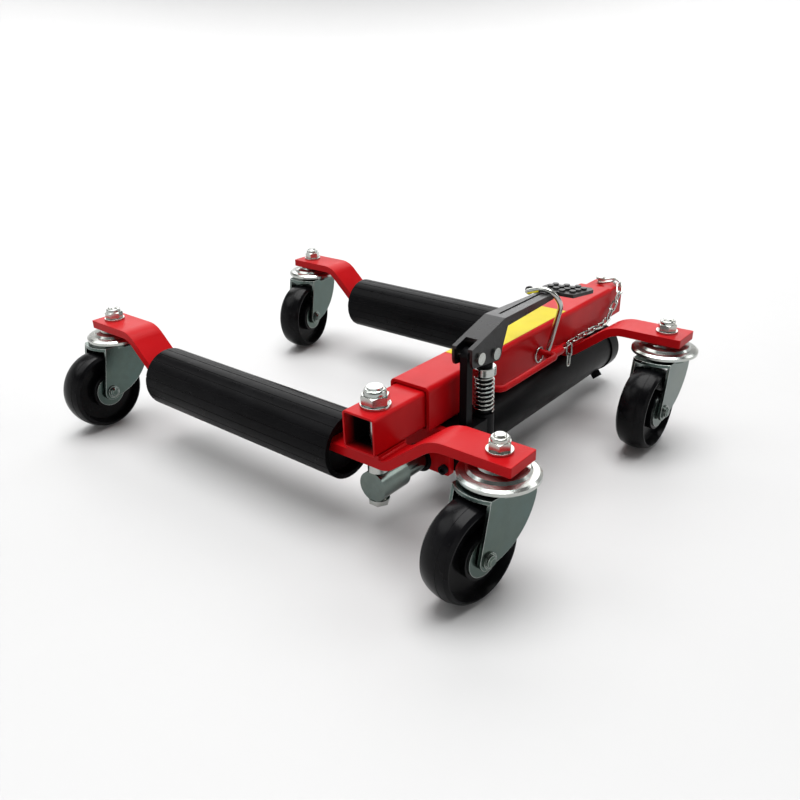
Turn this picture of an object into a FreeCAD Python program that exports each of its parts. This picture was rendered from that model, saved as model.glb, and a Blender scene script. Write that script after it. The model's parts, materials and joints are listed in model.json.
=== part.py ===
import FreeCAD, Part
import math
import os

V = FreeCAD.Vector

# Vehicle positioning jack. Millimetres, Z up from the floor, X across the rail, Y along the rail.
# Places are counted from where the rail's axis crosses the near arm and move to the origin on export.

# Common fits
overrun = 5.0
running_gap = 0.05
seat_gap = 0.05
free_gap = 0.4

# Frame
swivel_span = 589.1
rail_to_swivel = 140.8
arm_pitch = 361.9
origin_from_near_arm = 206.86

# Casters
wheel_radius = 50.0
wheel_width = 34.0
wheel_crown = 2.5
wheel_edge_round = 3.0
wheel_rim = 7.0
wheel_rim_slope = 3.5
wheel_web_recess = 9.0
wheel_hub_radius = 23.0
wheel_hub_bore = 9.0
wheel_face_inset = 1.0
bush_flange_radius = 19.5
bush_flange = 1.6
bush_length = 14.0
axle_radius = 5.0
axle_flange_radius = 7.8
axle_flange = 1.8
axle_boss_radius = 5.8
axle_boss = 3.4
axle_dome_radius = 3.6
axle_dome = 1.4
caster_trail = 36.35
tread_gap = 4.0
fork_plate = 4.0
fork_side = 3.5
fork_side_gap = 2.2
fork_top_radius = 42.0
fork_back = 26.0
fork_heel_drop = 17.0
fork_belly_back = 6.0
fork_belly_drop = 51.0
fork_toe = 11.0
fork_toe_drop = 11.0
fork_toe_back = 7.8
crown_radius = 29.0
cone_low_radius = 25.0
cone_top_radius = 13.0
cone_rise = 12.0
race_gap = 2.5
race_height = 13.5
race_radius = 38.0
race_plate = 2.4
race_step = 1.0
race_top_shares = [(0.47, 1), (0.53, 0.74), (0.72, 0.64), (0.78, 0.45), (0.93, 0.38), (1, 0.24)]
stem_radius = 6.0
stem_hole_radius = 6.25
stem_head_radius = 10.0
stem_head = 5.0
stem_out = 16.5
stem_washer_radius = 12.5
stem_washer = 2.5
stem_nut_across = 19.0
stem_nut = 8.0
stem_collar_radius = 8.8
stem_collar = 4.2
stem_collar_round = 2.2
stem_chamfer = 1.3
nut_slope = 1.6
turn_near_left = 273.0
turn_near_right = 262.0
turn_far_left = 283.0
turn_far_right = 270.0

# Arms
arm_width = 42.0
arm_thick = 10.0
arm_rise = 42.0
arm_left_over = 20.2
arm_right_over = 24.3
left_bend_in = 59.0
left_slope_run = 46.0
left_high_radius = 30.0
left_low_radius = 14.0
right_low_out = 2.5
right_slope_run = 54.5
right_low_radius = 25.0
right_high_radius = 40.0
arm_corner = 1.5

# Rail
outer_size = 50.0
outer_wall = 4.0
outer_corner = 6.0
bore_corner = 2.0
outer_start = 51.9
outer_length = 406.1
slide_gap = 0.9
inner_wall = 2.4
inner_corner = 4.0
inner_bore_corner = 1.5
inner_overhang = 26.4
shut_travel = 24.0
inner_end_gap = 1.0
stub_gap = 0.1
stub_corner = 3.0
stub_wall = 3.0
stub_inside = 38.0
stub_outside = 42.0
label_width = 40.0
label_length = 198.0
label_thick = 0.4
label_start = 141.0

# Rollers
roller_radius = 35.8
roller_wall = 5.5
roller_end_gap = 2.0
roller_from_rail = 37.7
roller_drop = 6.3
groove_count = 20
groove_width = 0.9
groove_depth = 0.5
roller_bush_inset = 12.0
roller_bush_length = 14.0

# Arm bolt
bolt_radius = 8.0
bolt_hole_radius = 8.25
bolt_head_across = 19.0
bolt_head = 4.5
bolt_flange_radius = 11.0
bolt_flange = 1.5
bolt_washer_radius = 15.5
bolt_washer = 3.0
bolt_nut_across = 26.0
bolt_nut = 9.5
bolt_nut_collar_radius = 11.7
bolt_nut_collar = 6.0
bolt_nut_round = 4.0
bolt_past_nut = 2.0
spacer_radius = 10.5

# Ram
barrel_gap = 1.0
barrel_radius = 31.0
barrel_wall = 4.0
barrel_start = 105.0
barrel_length = 357.0
cap_radius = 33.0
cap_length = 23.0
cap_round = 4.0
spigot_length = 12.0
neck_radius = 16.5
rod_radius = 12.5
piston_end_gap = 1.0
piston_length = 20.0
eye_radius = 16.5
eye_near = 9.8
eye_far = 31.0
eye_half_height = 16.0
plate_half_width = 40.0
plate_start = 66.0
plate_thick = 8.0
plate_below = 10.0
plate_corner = 3.0
screw_from_axis = 34.0
screw_below = 2.0
screw_radius = 3.0
screw_head_radius = 5.0
screw_head = 5.5
screw_length = 22.0
screw_socket_across = 5.0
screw_socket = 2.5
plug_from_end = 22.0
plug_angle = -52.0
plug_across = 13.0
plug_length = 8.0
plug_thread_radius = 4.5
plug_thread = 3.0

# Pump
pump_from_rail = 17.0
fulcrum_y = 96.5
fulcrum_height = 74.8
link_reach = 28.0
link_drop = 3.6
block_left = 14.0
block_half = 9.5
block_far_wall = 8.0
block_below = 6.0
block_top_gap = 1.5
block_round = 2.0
tower_radius = 11.5
tower_rise = 4.3
pump_bore_depth = 24.0
plunger_radius = 8.6
plunger_in_bore = 20.0
tongue_width = 12.0
tongue_half = 7.0
collar_radius = 12.6
collar_height = 10.0
collar_low = 26.0
collar_round = 1.5
post_left = 6.0
post_right = 3.0
post_near = 8.0
post_far = 2.0
post_eye_radius = 8.0
pin_radius = 4.5
pin_head_radius = 6.3
pin_head = 2.6
pin_side_gap = 0.35
spring_wire = 2.2
spring_gap = 0.5
spring_turns = 8
valve_y = 90.0
valve_up = 12.0
valve_radius = 4.0
valve_depth = 12.0
valve_knob_radius = 8.0
valve_knob = 10.0
valve_bar_radius = 1.6
valve_bar_half = 13.0

# Pedal lever
lever_width = 24.6
lever_wall = 3.0
lever_rise = 29.2
lever_nose_rise = 12.5
lever_bend_reach = 45.0
lever_depth = 10.0
lever_reach = 170.5
lever_left_in = 8.5
lever_right_in = 1.5
lever_end_up = 4.0
lug_radius = 13.0
lug_below = 9.0
notch_width = 14.0
notch_reach = 4.0
hollow_past_bend = 6.0
lever_groove = 1.5
lever_groove_width = 3.0
lever_groove_past_bend = 8.5
lever_groove_before_end = 35.0
link_slot_in = 0.6
link_slot_out = 1.9
pad_left = 29.0
pad_on_lever = 19.0
pad_width = 54.0
pad_depth = 37.0
pad_thick = 4.0
pad_outline_shares = [(0.535, 0), (0, 0.31), (0.04, 0.66), (0.9, 1), (1, 0.82), (0.83, 0.03)]
stud_radius = 3.6
stud_height = 2.2
stud_shares = [(0.17, 0.4), (0.34, 0.28), (0.52, 0.16), (0.2, 0.62), (0.38, 0.5), (0.56, 0.38),
               (0.73, 0.25), (0.43, 0.7), (0.6, 0.59), (0.77, 0.47), (0.66, 0.79), (0.82, 0.69)]

# Keeper hook and its boss
hook_radius = 3.0
hook_foot_in = 10.5
hook_foot_gap = 4.0
hook_foot_below = 13.0
hook_lean = 23.6
hook_start = 8.0
hook_bend_out = 31.5
hook_bend = 117.5
hook_bend_radius = 18.0
hook_tip_in = 23.0
hook_tip = 96.0
hook_seat_gap = 0.6
hook_tip_radius = 4.0
hook_pin = 10.2
hook_lug_start = 4.4
hook_lug_thick = 3.0
hook_lug_round = 4.8
hook_lug_arm = 4.0
boss_radius = 6.0
boss_below = 14.0
boss_past_lever = 18.0
boss_length = 25.0
boss_web = 8.0
eye_plate_thick = 3.0
eye_plate_length = 12.0
eye_plate_height = 11.0
eye_plate_hole = 3.6

# Carry handle
handle_radius = 3.6
handle_below = 4.0
handle_past_block = 13.0
handle_before_boss = 18.4
handle_out = 25.0
handle_bend = 9.0

# Lock pin, its ring, the chain and the spare ring
pin_shank_radius = 4.0
pin_shank_gap = 0.2
pin_from_axis = 6.0
pin_from_stub_end = 13.0
pin_below = 8.0
pin_neck = 5.5
pin_button_radius = 6.3
pin_button = 3.6
pin_button_round = 1.2
ring_height = 2.6
ring_hole_gap = 0.5
ring_radius = 10.7
ring_wire_radius = 1.25
ring_tilt = 12.0
spare_ring_radius = 9.0
spare_ring_wire_radius = 1.0
spare_ring_from_rail = 1.8
link_wire_radius = 1.2
link_width = 9.0
link_pitch = 13.4
link_slack = 0.7
chain_side_gap = 5.5
chain_turn_in = 19.0
chain_turn_rise = 6.5
chain_turn_bend = 20.0
chain_low_out = 53.1
chain_low_drop = 16.0
chain_low_bend = 20.0
chain_arm_gap = 9.0
chain_arm_drop = 13.0
chain_eye_in = 11.9
chain_bend = 16.0
tail_links = 2
tail_shift = 2.0

# Places that follow from the sizes
axle_z = wheel_radius
crown_low_z = 2 * wheel_radius + tread_gap
crown_top_z = crown_low_z + fork_plate
race_low_z = crown_top_z + race_gap
race_top_z = race_low_z + race_height
arm_high_top_z = race_top_z + arm_thick
arm_low_top_z = arm_high_top_z - arm_rise
arm_low_z = arm_low_top_z - arm_thick
rail_half = outer_size / 2
rail_z = arm_low_top_z + rail_half
rail_top_z = rail_z + rail_half
bore_size = outer_size - 2 * outer_wall
inner_size = bore_size - 2 * slide_gap
inner_half = inner_size / 2
outer_end = outer_start + outer_length
stub_size = bore_size - 2 * stub_gap
stub_half = stub_size / 2
stub_end = outer_end + stub_outside
stub_start = outer_end - stub_inside
inner_end = stub_start - shut_travel - inner_end_gap
right_swivel_x = rail_to_swivel
left_swivel_x = rail_to_swivel - swivel_span
roller_z = arm_low_top_z - arm_thick / 2 - roller_drop
roller_left = left_swivel_x + left_bend_in + left_slope_run + roller_end_gap
roller_right = -roller_from_rail
roller_bore = roller_radius - roller_wall
ram_z = arm_low_z - barrel_gap - barrel_radius
barrel_bore = barrel_radius - barrel_wall
barrel_end = barrel_start + barrel_length
piston_start = barrel_end - spigot_length - shut_travel - piston_end_gap - piston_length
plate_end = plate_start + plate_thick
pump_x = rail_half + pump_from_rail
plunger_y = fulcrum_y + link_reach
fulcrum_z = arm_low_top_z + fulcrum_height
link_z = fulcrum_z - link_drop
block_low_z = ram_z - block_below
block_top_z = arm_low_top_z - block_top_gap
block_right = pump_x + block_half
block_far = plunger_y + block_far_wall
seat_z = block_top_z + tower_rise
spring_radius = plunger_radius + spring_gap + spring_wire / 2
collar_low_z = link_z - collar_low
collar_top_z = collar_low_z + collar_height
lever_left = pump_x - lever_width / 2
lever_right = pump_x + lever_width / 2
lever_top_z = fulcrum_z + lever_rise
lever_low_z = lever_top_z - lever_depth
lever_nose_y = fulcrum_y - lug_radius
lever_nose_z = fulcrum_z + lever_nose_rise
lever_bend_y = fulcrum_y + lever_bend_reach
lever_end = fulcrum_y + lever_reach
lever_end_z = lever_low_z + lever_end_up
hollow_end = lever_bend_y + hollow_past_bend
pad_near = lever_end - pad_on_lever
pad_z = lever_top_z - pad_thick
handle_start = block_far + handle_past_block
handle_z = rail_z - handle_below
handle_x = rail_half + handle_out
boss_x = rail_half + boss_radius
boss_z = rail_z - boss_below
boss_start = lever_end + boss_past_lever
boss_end = boss_start + boss_length
handle_end = boss_start - handle_before_boss
hook_foot_x = pump_x - hook_foot_in
hook_foot_y = boss_start - hook_foot_gap
hook_foot_z = rail_z - hook_foot_below
hook_bend_x = pump_x + hook_bend_out
hook_tip_x = pump_x - hook_tip_in
pin_x = -pin_from_axis
pin_y = stub_end - pin_from_stub_end
stub_top_z = rail_z + stub_half
ring_z = stub_top_z + ring_height

# Basic shapes


def box(x0, x1, y0, y1, z0, z1):
    return Part.makeBox(x1 - x0, y1 - y0, z1 - z0, V(x0, y0, z0))


def rod(radius, start, end):
    axis = end - start
    return Part.makeCylinder(radius, axis.Length, start, axis)


def joined(shapes):
    whole = shapes[0].multiFuse(shapes[1:])
    return whole.removeSplitter().Solids[0]


def group(shapes):
    return Part.makeCompound(shapes)


def prism(points, move):
    return Part.Face(Part.makePolygon(points + [points[0]])).extrude(move)


def side_prism(outline, x0, x1):
    return prism([V(x0, y, z) for y, z in outline], V(x1 - x0, 0, 0))


def hexagon(across, centre, axis):
    turn = FreeCAD.Rotation(V(0, 0, 1), axis)
    reach = across / math.sqrt(3)
    angles = [math.radians(60 * step) for step in range(6)]
    points = [V(reach * math.cos(a), reach * math.sin(a), 0) for a in angles]
    return prism([centre + turn.multVec(p) for p in points], axis)


def turned(profile, centre):
    face = Part.Face(Part.makePolygon([V(r, 0, z) for r, z in profile + [profile[0]]]))
    solid = face.revolve(V(0, 0, 0), V(0, 0, 1), 360)
    solid.translate(centre)
    return solid


def slot_prism(first, last, radius, x0, x1):
    along = V(0, last[0] - first[0], last[1] - first[1])
    along.normalize()
    across = V(0, -along.z, along.y)
    a = V(x0, first[0], first[1])
    b = V(x0, last[0], last[1])
    edges = [Part.LineSegment(a + across * radius, b + across * radius).toShape(),
             Part.Arc(b + across * radius, b + along * radius, b - across * radius).toShape(),
             Part.LineSegment(b - across * radius, a - across * radius).toShape(),
             Part.Arc(a - across * radius, a - along * radius, a + across * radius).toShape()]
    return Part.Face(Part.Wire(edges)).extrude(V(x1 - x0, 0, 0))


def corner_arc(before, corner, after, radius):
    back = (before - corner).normalize()
    ahead = (after - corner).normalize()
    half = back.getAngle(ahead) / 2
    reach = radius / math.tan(half)
    middle = (back + ahead).normalize()
    inner = corner + middle * (radius / math.sin(half) - radius)
    return corner + back * reach, inner, corner + ahead * reach


def bent_path(points, radii):
    edges = []
    last = points[0]
    for i, radius in enumerate(radii):
        first, inner, after = corner_arc(points[i], points[i + 1], points[i + 2], radius)
        edges.append(Part.LineSegment(last, first).toShape())
        edges.append(Part.Arc(first, inner, after).toShape())
        last = after
    edges.append(Part.LineSegment(last, points[-1]).toShape())
    return Part.Wire(edges)


def bent_rod(points, radii, radius):
    circle = Part.Circle(points[0], points[1] - points[0], radius)
    face = Part.Face(Part.Wire([circle.toShape()]))
    return bent_path(points, radii).makePipe(face)


def edges_along(shape, direction):
    found = []
    for edge in shape.Edges:
        if isinstance(edge.Curve, Part.Line) and abs(edge.Curve.Direction.dot(direction)) > 0.999:
            found.append(edge)
    return found


# Rail


def square_bar(size, corner, start, length):
    half = size / 2
    bar = box(-half, half, start, start + length, rail_z - half, rail_z + half)
    return bar.makeFillet(corner, edges_along(bar, V(0, 1, 0)))


def square_tube(size, wall, corner, hollow_corner, start, length):
    hollow = square_bar(size - 2 * wall, hollow_corner, start - overrun, length + 2 * overrun)
    return square_bar(size, corner, start, length).cut(hollow)


def outer_rail():
    return square_tube(outer_size, outer_wall, outer_corner, bore_corner, outer_start, outer_length)


def inner_rail():
    tube = square_tube(inner_size, inner_wall, inner_corner, inner_bore_corner, -inner_overhang,
                       inner_end + inner_overhang)
    low = V(0, 0, rail_z - inner_size)
    return tube.cut(rod(bolt_hole_radius, low, low + V(0, 0, 2 * inner_size)))


def end_stub():
    tube = square_tube(stub_size, stub_wall, stub_corner, inner_bore_corner, stub_start,
                       stub_end - stub_start)
    low = V(pin_x, pin_y, rail_z - stub_size)
    return tube.cut(rod(pin_shank_radius + pin_shank_gap, low, low + V(0, 0, 2 * stub_size)))


def label():
    half = label_width / 2
    top = rail_top_z + label_thick
    return box(-half, half, label_start, label_start + label_length, rail_top_z, top)


# Arms


def bent_bar(y):
    high = arm_high_top_z - arm_thick / 2
    low = arm_low_top_z - arm_thick / 2
    left_end = left_swivel_x - arm_left_over
    left_bend = left_swivel_x + left_bend_in
    right_low = rail_half + right_low_out
    points = [V(left_end, y, high), V(left_bend, y, high), V(left_bend + left_slope_run, y, low),
              V(right_low, y, low), V(right_low + right_slope_run, y, high),
              V(right_swivel_x + arm_right_over, y, high)]
    radii = [left_high_radius, left_low_radius, right_low_radius, right_high_radius]
    near = y - arm_width / 2
    far = y + arm_width / 2
    section = [V(left_end, near, high - arm_thick / 2), V(left_end, far, high - arm_thick / 2),
               V(left_end, far, high + arm_thick / 2), V(left_end, near, high + arm_thick / 2)]
    face = Part.Face(Part.makePolygon(section + [section[0]]))
    bar = bent_path(points, radii).makePipe(face)
    bar = bar.makeFillet(arm_corner, edges_along(bar, V(0, 0, 1)))
    for x in (left_swivel_x, right_swivel_x):
        start = V(x, y, race_top_z - overrun)
        bar = bar.cut(rod(stem_hole_radius, start, V(x, y, arm_high_top_z + overrun)))
    return bar


def near_arm():
    half = arm_width / 2
    pad = box(-inner_half, inner_half, -half, half, arm_low_top_z, rail_z - inner_half)
    arm = joined([bent_bar(0), pad])
    return arm.cut(rod(bolt_hole_radius, V(0, 0, arm_low_z - overrun), V(0, 0, rail_z)))


def far_arm():
    return bent_bar(arm_pitch)


def arm_bolt():
    low = ram_z - eye_half_height
    flange = rod(bolt_flange_radius, V(0, 0, low - bolt_flange), V(0, 0, low))
    head = hexagon(bolt_head_across, V(0, 0, low), V(0, 0, -bolt_flange - bolt_head))
    top = rail_z + inner_half + bolt_washer + bolt_nut + bolt_nut_collar + bolt_past_nut
    return joined([head, flange, rod(bolt_radius, V(0, 0, low), V(0, 0, top))])


def tube_on_bolt(radius, low, top):
    outer = rod(radius, V(0, 0, low), V(0, 0, top))
    return outer.cut(rod(bolt_radius + seat_gap, V(0, 0, low - overrun), V(0, 0, top + overrun)))


def arm_spacer():
    return tube_on_bolt(spacer_radius, ram_z + eye_half_height, arm_low_z)


def arm_washer():
    low = rail_z + inner_half
    return tube_on_bolt(bolt_washer_radius, low, low + bolt_washer)


def arm_nut():
    base = V(0, 0, rail_z + inner_half + bolt_washer)
    collar = (bolt_nut_collar_radius, bolt_nut_collar, bolt_nut_round)
    return collared_nut(bolt_nut_across, bolt_nut, collar, bolt_radius + seat_gap, base)


# Rollers


def roller(y):
    left = roller_left - overrun
    right = roller_right + overrun
    tube = rod(roller_radius, V(roller_left, y, roller_z), V(roller_right, y, roller_z))
    tube = tube.cut(rod(roller_bore, V(left, y, roller_z), V(right, y, roller_z)))
    half = groove_width / 2
    cuts = []
    for step in range(groove_count):
        cut = box(left, right, y - half, y + half,
                  roller_z + roller_radius - groove_depth, roller_z + roller_radius + overrun)
        cut.rotate(V(0, y, roller_z), V(1, 0, 0), 360 * step / groove_count)
        cuts.append(cut)
    return tube.cut(group(cuts))


def roller_bushes(y):
    starts = [roller_left + roller_bush_inset, roller_right - roller_bush_inset - roller_bush_length]
    bar = box(roller_left, roller_right, y - arm_width / 2, y + arm_width / 2, arm_low_z, arm_low_top_z)
    bushes = []
    for x in starts:
        disc = rod(roller_bore - running_gap, V(x, y, roller_z), V(x + roller_bush_length, y, roller_z))
        bushes.append(disc.cut(bar).Solids[0])
    return group(bushes)


# Casters


def stem(x, y):
    head_top = crown_low_z - free_gap
    head = rod(stem_head_radius, V(x, y, head_top - stem_head), V(x, y, head_top))
    top = arm_high_top_z + stem_out
    shank = rod(stem_radius, V(x, y, head_top), V(x, y, top))
    shank = shank.makeChamfer(stem_chamfer, [e for e in shank.Edges if e.CenterOfMass.z > top - stem_chamfer])
    return joined([head, shank])


def race(x, y):
    bore = stem_radius + seat_gap
    top = [(race_radius * a, race_low_z + race_height * b) for a, b in race_top_shares]
    under = [(r - race_step, z - race_plate) for r, z in reversed(top[:-1])]
    inner = race_radius - race_plate
    rim = [(race_radius, race_low_z), (inner, race_low_z), (inner, top[-1][1] - race_plate)]
    profile = [(bore, race_top_z)] + top + rim + under + [(bore, race_top_z - race_plate)]
    return turned(profile, V(x, y, 0))


def stem_washer_disc(x, y):
    base = V(x, y, arm_high_top_z)
    lift = V(0, 0, stem_washer)
    hole = rod(stem_radius + seat_gap, base - lift, base + lift * 2)
    return rod(stem_washer_radius, base, base + lift).cut(hole)


def chamfered_nut(across, height, centre):
    reach = across / math.sqrt(3)
    side = reach - across / 2
    profile = [(0, 0), (across / 2, 0), (reach, side / nut_slope), (reach, height - side / nut_slope),
               (across / 2, height), (0, height)]
    return hexagon(across, centre, V(0, 0, height)).common(turned(profile, centre))


def collared_nut(across, height, collar, bore, base):
    radius, rise, rounding = collar
    top = base + V(0, 0, height + rise)
    ring = rod(radius, base, top)
    rim = [e for e in ring.Edges if e.CenterOfMass.z > top.z - rounding]
    nut = joined([chamfered_nut(across, height, base), ring.makeFillet(rounding, rim)])
    return nut.cut(rod(bore, base - V(0, 0, overrun), top + V(0, 0, overrun)))


def stem_nut_body(x, y):
    base = V(x, y, arm_high_top_z + stem_washer)
    collar = (stem_collar_radius, stem_collar, stem_collar_round)
    return collared_nut(stem_nut_across, stem_nut, collar, stem_radius + seat_gap, base)


def turned_about_stem(shape, x, y, turn):
    shape.rotate(V(0, 0, 0), V(0, 0, 1), turn)
    shape.translate(V(x, y, 0))
    return shape


def fork_outer():
    return wheel_width / 2 + fork_side_gap + fork_side


def fork_front():
    return math.sqrt(fork_top_radius ** 2 - fork_outer() ** 2)


def fork_side_plate(low, high):
    toe = V(caster_trail + fork_toe, low, axle_z)
    toe_low = V(caster_trail, low, axle_z - fork_toe_drop)
    toe_back = V(caster_trail - fork_toe_back, low, axle_z - fork_toe_back)
    belly = V(-fork_belly_back, low, crown_top_z - fork_belly_drop)
    heel = V(-fork_back, low, crown_top_z - fork_heel_drop)
    top_back = V(-fork_back, low, crown_top_z)
    top_front = V(fork_front(), low, crown_top_z)
    edges = [Part.LineSegment(top_back, top_front).toShape(), Part.LineSegment(top_front, toe).toShape(),
             Part.Arc(toe, toe_low, toe_back).toShape(), Part.Arc(toe_back, belly, heel).toShape(),
             Part.LineSegment(heel, top_back).toShape()]
    return Part.Face(Part.Wire(edges)).extrude(V(0, high - low, 0))


def fork(x, y, turn):
    outer = fork_outer()
    inner = outer - fork_side
    plate = box(-fork_back, fork_top_radius, -outer, outer, crown_low_z, crown_top_z)
    plate = plate.common(rod(fork_top_radius, V(0, 0, crown_low_z), V(0, 0, crown_top_z)))
    cone_top = crown_top_z + cone_rise
    crown = turned([(0, crown_low_z), (crown_radius, crown_low_z), (crown_radius, crown_top_z),
                    (cone_low_radius, crown_top_z), (cone_top_radius, cone_top), (0, cone_top)], V(0, 0, 0))
    body = joined([plate, crown, fork_side_plate(-outer, -inner), fork_side_plate(inner, outer)])
    body = body.cut(rod(stem_radius + running_gap, V(0, 0, axle_z), V(0, 0, cone_top + overrun)))
    axle_hole = rod(axle_radius + seat_gap, V(caster_trail, -outer - overrun, axle_z),
                    V(caster_trail, outer + overrun, axle_z))
    return turned_about_stem(body.cut(axle_hole), x, y, turn)


def on_axle(profile):
    shape = turned(profile, V(0, 0, 0))
    shape.rotate(V(0, 0, 0), V(1, 0, 0), 90)
    shape.translate(V(caster_trail, 0, axle_z))
    return shape


def axle(x, y, turn):
    outer = fork_outer()
    flange = outer + axle_flange
    end = flange + axle_boss
    half = [(axle_radius, outer), (axle_flange_radius, outer), (axle_flange_radius, flange),
            (axle_boss_radius, flange), (axle_boss_radius, end - axle_dome), (axle_dome_radius, end),
            (0, end)]
    mirrored = [(r, -z) for r, z in reversed(half)]
    return turned_about_stem(on_axle(mirrored + half), x, y, turn)


def wheel(x, y, turn):
    half = wheel_width / 2
    hub_half = half - wheel_face_inset
    rim = wheel_radius - wheel_rim
    web = half - wheel_web_recess
    edge = wheel_radius - wheel_crown
    points = [V(wheel_hub_bore, 0, -hub_half), V(wheel_hub_radius, 0, -hub_half),
              V(wheel_hub_radius, 0, -web), V(rim - wheel_rim_slope, 0, -web), V(rim, 0, -half),
              V(edge - wheel_edge_round, 0, -half), V(edge, 0, -half + wheel_edge_round)]
    edges = [Part.LineSegment(a, b).toShape() for a, b in zip(points, points[1:])]
    edges.append(Part.Arc(points[-1], V(wheel_radius, 0, 0), V(edge, 0, half - wheel_edge_round)).toShape())
    mirrored = [V(p.x, 0, -p.z) for p in reversed(points)]
    edges.extend(Part.LineSegment(a, b).toShape() for a, b in zip(mirrored, mirrored[1:]))
    edges.append(Part.LineSegment(mirrored[-1], points[0]).toShape())
    shape = Part.Face(Part.Wire(edges)).revolve(V(0, 0, 0), V(0, 0, 1), 360)
    shape.rotate(V(0, 0, 0), V(1, 0, 0), 90)
    shape.translate(V(caster_trail, 0, axle_z))
    return turned_about_stem(shape, x, y, turn)


def wheel_bushes(x, y, turn):
    bushes = []
    face = wheel_width / 2 - wheel_face_inset
    bore = axle_radius + running_gap
    outer = wheel_hub_bore - seat_gap
    for side in (-1, 1):
        inside = side * (face - bush_length)
        outside = side * (face + bush_flange)
        profile = [(bore, inside), (outer, inside), (outer, side * face), (bush_flange_radius, side * face),
                   (bush_flange_radius, outside), (bore, outside)]
        bushes.append(on_axle(profile))
    return turned_about_stem(group(bushes), x, y, turn)


# Ram


def along_ram(radius, start, end):
    return rod(radius, V(0, start, ram_z), V(0, end, ram_z))


def barrel():
    tube = along_ram(barrel_radius, barrel_start, barrel_end)
    tube = tube.cut(along_ram(barrel_bore, barrel_start - overrun, barrel_end + overrun))
    return tube.cut(plug_thread_rod(plug_thread_radius + seat_gap, overrun))


def barrel_cap():
    body = along_ram(cap_radius, barrel_end, barrel_end + cap_length)
    far = [e for e in body.Edges if e.CenterOfMass.y > barrel_end + cap_length - cap_round]
    spigot = along_ram(barrel_bore - seat_gap, barrel_end - spigot_length, barrel_end)
    return joined([body.makeFillet(cap_round, far), spigot])


def gland():
    spigot = along_ram(barrel_bore - seat_gap, barrel_start, barrel_start + spigot_length)
    body = joined([along_ram(neck_radius, plate_start, barrel_start), spigot])
    bore = along_ram(rod_radius + running_gap, plate_start - overrun, barrel_start + spigot_length + overrun)
    return body.cut(bore)


def front_plate():
    low = ram_z - plate_below
    plate = box(-plate_half_width, plate_half_width, plate_start, plate_end, low, arm_low_top_z)
    corners = [e for e in edges_along(plate, V(0, 1, 0)) if e.CenterOfMass.z < ram_z]
    plate = plate.makeFillet(plate_corner, corners)
    plate = plate.cut(along_ram(neck_radius + seat_gap, plate_start - overrun, plate_end + overrun))
    for x in (-screw_from_axis, screw_from_axis):
        plate = plate.cut(screw_shank(x, screw_radius + seat_gap, plate_end + overrun))
    return plate


def screw_shank(x, radius, end):
    z = ram_z - screw_below
    return rod(radius, V(x, plate_start - overrun, z), V(x, end, z))


def plate_screws():
    screws = []
    for x, end in ((-screw_from_axis, plate_end), (screw_from_axis, plate_start + screw_length)):
        z = ram_z - screw_below
        seat = V(x, plate_start, z)
        head = rod(screw_head_radius, seat - V(0, screw_head, 0), seat)
        socket = hexagon(screw_socket_across, seat - V(0, screw_head, 0), V(0, screw_socket, 0))
        screws.append(joined([head.cut(socket), rod(screw_radius, seat, V(x, end, z))]))
    return group(screws)


def plug_axis():
    angle = math.radians(plug_angle)
    return V(math.cos(angle), 0, math.sin(angle))


def plug_thread_rod(radius, extra):
    centre = V(0, barrel_end - plug_from_end, ram_z)
    start = centre + plug_axis() * (barrel_radius - plug_thread)
    return rod(radius, start, centre + plug_axis() * (barrel_radius + extra))


def drain_plug():
    centre = V(0, barrel_end - plug_from_end, ram_z)
    head = hexagon(plug_across, centre + plug_axis() * barrel_radius, plug_axis() * plug_length)
    return joined([head, plug_thread_rod(plug_thread_radius, plug_length)])


def piston_rod():
    eye = along_ram(eye_radius, -eye_near, eye_far)
    flats = box(-eye_radius, eye_radius, -eye_near, eye_far, ram_z - eye_half_height, ram_z + eye_half_height)
    body = joined([eye.common(flats), along_ram(rod_radius, eye_far, piston_start + piston_length),
                   along_ram(barrel_bore - running_gap, piston_start, piston_start + piston_length)])
    return body.cut(rod(bolt_radius + seat_gap, V(0, 0, 0), V(0, 0, arm_low_z)))


# Pump


def upright(radius, low, high):
    return rod(radius, V(pump_x, plunger_y, low), V(pump_x, plunger_y, high))


def pump_block():
    body = box(block_left, block_right, plate_end, block_far, block_low_z, block_top_z)
    body = body.makeFillet(block_round, edges_along(body, V(0, 0, 1)))
    left = pump_x - post_left
    right = pump_x + post_right
    post = box(left, right, fulcrum_y - post_near, fulcrum_y + post_far, block_top_z, fulcrum_z)
    top = rod(post_eye_radius, V(left, fulcrum_y, fulcrum_z), V(right, fulcrum_y, fulcrum_z))
    body = joined([body, upright(tower_radius, block_low_z, seat_z), post, top])
    body = body.cut(along_ram(neck_radius + seat_gap, plate_end - overrun, barrel_start + overrun))
    body = body.cut(along_ram(barrel_radius + seat_gap, barrel_start - seat_gap, block_far + overrun))
    body = body.cut(upright(plunger_radius + running_gap, seat_z - pump_bore_depth, seat_z + overrun))
    body = body.cut(across_pump(pin_radius + seat_gap, fulcrum_y, fulcrum_z, lever_width))
    hole_end = plate_start + screw_length + free_gap
    body = body.cut(screw_shank(screw_from_axis, screw_radius + seat_gap, hole_end))
    hole = V(block_right - valve_depth - free_gap, valve_y, ram_z + valve_up)
    return body.cut(rod(valve_radius + running_gap, hole, hole + V(block_half + valve_depth, 0, 0)))


def across_pump(radius, y, z, width):
    return rod(radius, V(pump_x - width / 2, y, z), V(pump_x + width / 2, y, z))


def headed_pin(y, z):
    inner = lever_width / 2 + pin_side_gap
    shapes = [across_pump(pin_radius, y, z, 2 * inner)]
    for side in (-1, 1):
        seat = V(pump_x + side * inner, y, z)
        shapes.append(rod(pin_head_radius, seat, seat + V(side * pin_head, 0, 0)))
    return joined(shapes)


def fulcrum_pin():
    return headed_pin(fulcrum_y, fulcrum_z)


def link_pin():
    return headed_pin(plunger_y, link_z)


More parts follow.
